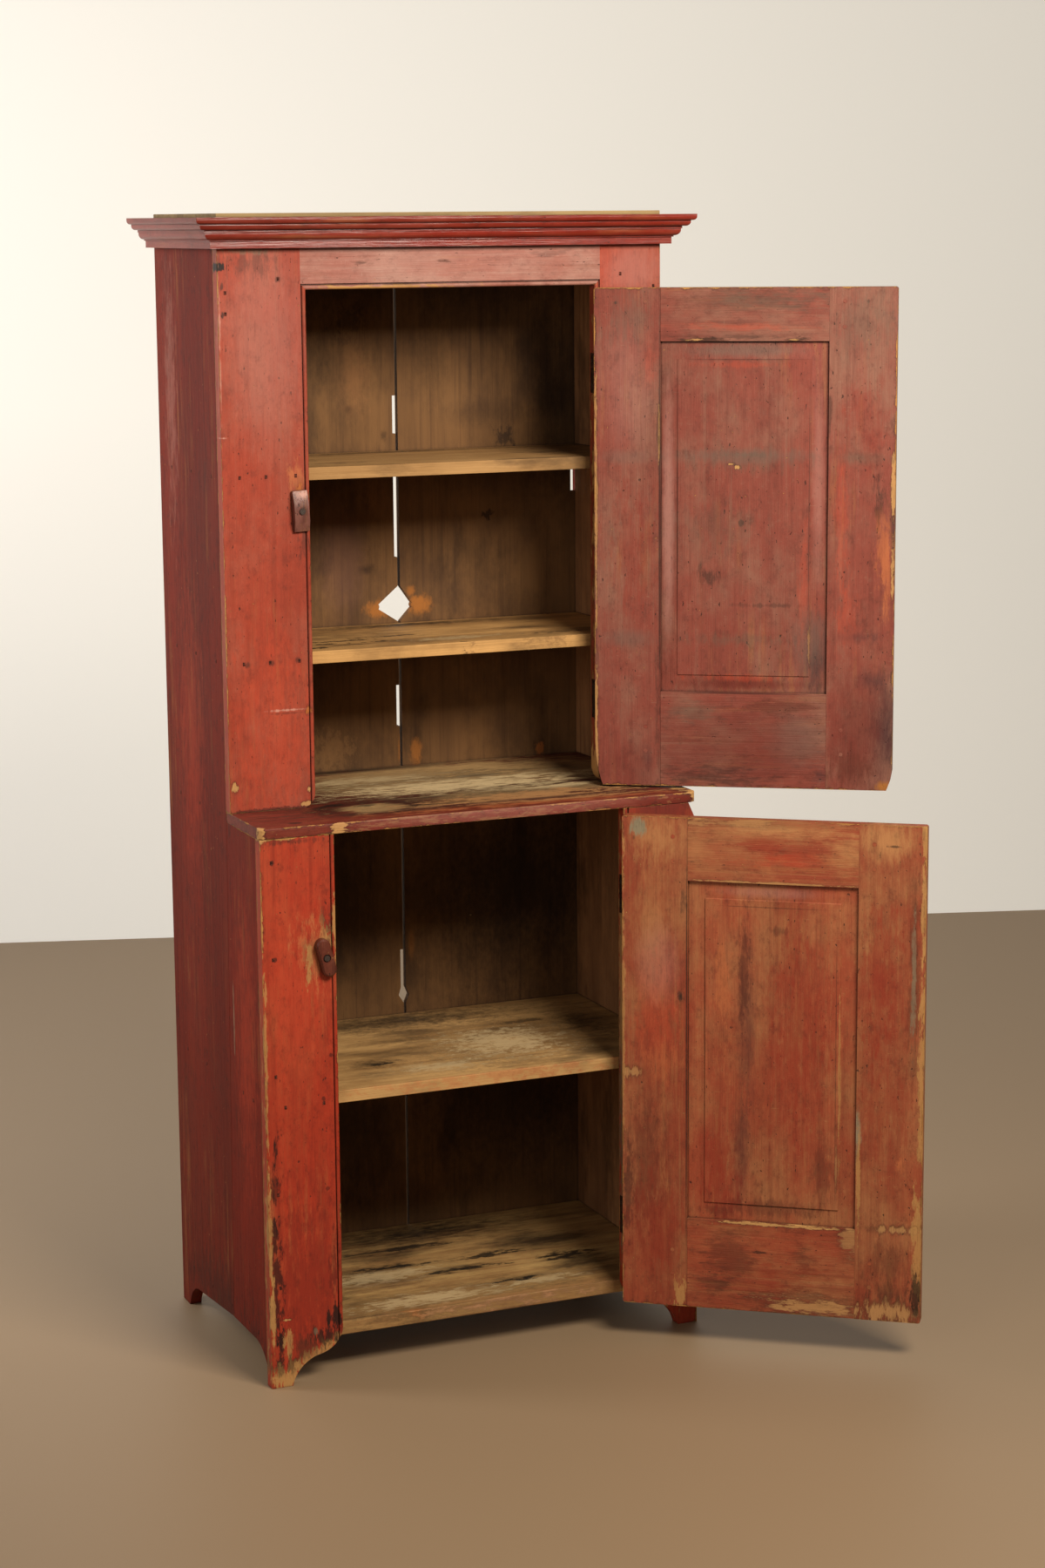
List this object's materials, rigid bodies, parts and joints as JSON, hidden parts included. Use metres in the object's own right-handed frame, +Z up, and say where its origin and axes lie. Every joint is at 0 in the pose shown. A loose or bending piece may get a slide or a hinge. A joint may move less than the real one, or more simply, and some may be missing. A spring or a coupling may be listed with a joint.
{
  "type": "stepback cupboard",
  "caption": "Tall stepback cupboard: shallow shelved upper case over a deeper base, framed panel doors, turn buttons, moulded cornice, cut-out bracket feet.",
  "frame": {"origin": "on the floor, at the left front corner of the case's footprint, where the left front foot stands", "axes": "+X to the right seen from the front, +Y from the front to the back, +Z up"},
  "size_m": [1.0825, 0.7882, 1.833],
  "materials": {
    "painted_wood": "old red milk paint, worn to bare wood at the arrises",
    "bare_wood": "unpainted, aged and stained",
    "pegs": "painted over",
    "iron": "dark and rusted",
    "screw_steel": "dull, darkened"
  },
  "bodies": {
    "case": {"back_board_left": "bare_wood", "back_board_right": "bare_wood", "back_nails": "iron", "bottom_back_board": "bare_wood", "bottom_front_board": "bare_wood", "cornice_front": "painted_wood", "cornice_left": "painted_wood", "cornice_right": "painted_wood", "left_side_board": "painted_wood", "left_side_front_board": "painted_wood", "lower_button_screw": "screw_steel", "lower_hinge_frame_leaves": "iron", "lower_hinge_pins": "iron", "lower_left_stile": "painted_wood", "lower_right_stile": "painted_wood", "lower_shelf": "bare_wood", "middle_shelf": "bare_wood", "right_side_board": "painted_wood", "right_side_front_board": "painted_wood", "side_nails": "iron", "stile_nails": "iron", "top_board": "bare_wood", "upper_button_screw": "screw_steel", "upper_hinge_frame_leaves": "iron", "upper_hinge_pins": "iron", "upper_left_stile": "painted_wood", "upper_right_stile": "painted_wood", "upper_shelf": "bare_wood", "upper_top_rail": "painted_wood", "waist_board": "painted_wood"},
    "upper_door": {"upper_door_bottom_rail": "painted_wood", "upper_door_free_stile": "painted_wood", "upper_door_hinge_stile": "painted_wood", "upper_door_panel": "painted_wood", "upper_door_pegs": "pegs", "upper_door_top_rail": "painted_wood", "upper_hinge_door_leaves": "iron"},
    "lower_door": {"lower_door_bottom_rail": "painted_wood", "lower_door_free_stile": "painted_wood", "lower_door_hinge_stile": "painted_wood", "lower_door_panel": "painted_wood", "lower_door_pegs": "pegs", "lower_door_top_rail": "painted_wood", "lower_hinge_door_leaves": "iron"},
    "upper_button": {"upper_turn_button": "painted_wood"},
    "lower_button": {"lower_turn_button": "painted_wood"}
  },
  "joints": [
    {"name": "upper_door_hinge", "type": "hinge", "parent": "case", "child": "upper_door", "pos_m": [0.63272, 0.138, 1.309], "axis": [0, 0, 1], "range_deg": [-147, 29]},
    {"name": "lower_door_hinge", "type": "hinge", "parent": "case", "child": "lower_door", "pos_m": [0.61577, -0.004, 0.472], "axis": [0, 0, 1], "range_deg": [-143, 33]},
    {"name": "upper_button_turn", "type": "hinge", "parent": "case", "child": "upper_button", "pos_m": [0.12552, 0.1357, 1.375], "axis": [0, 1, 0], "continuous": true},
    {"name": "lower_button_turn", "type": "hinge", "parent": "case", "child": "lower_button", "pos_m": [0.10203, -0.0063, 0.693], "axis": [0, 1, 0], "continuous": true}
  ]
}
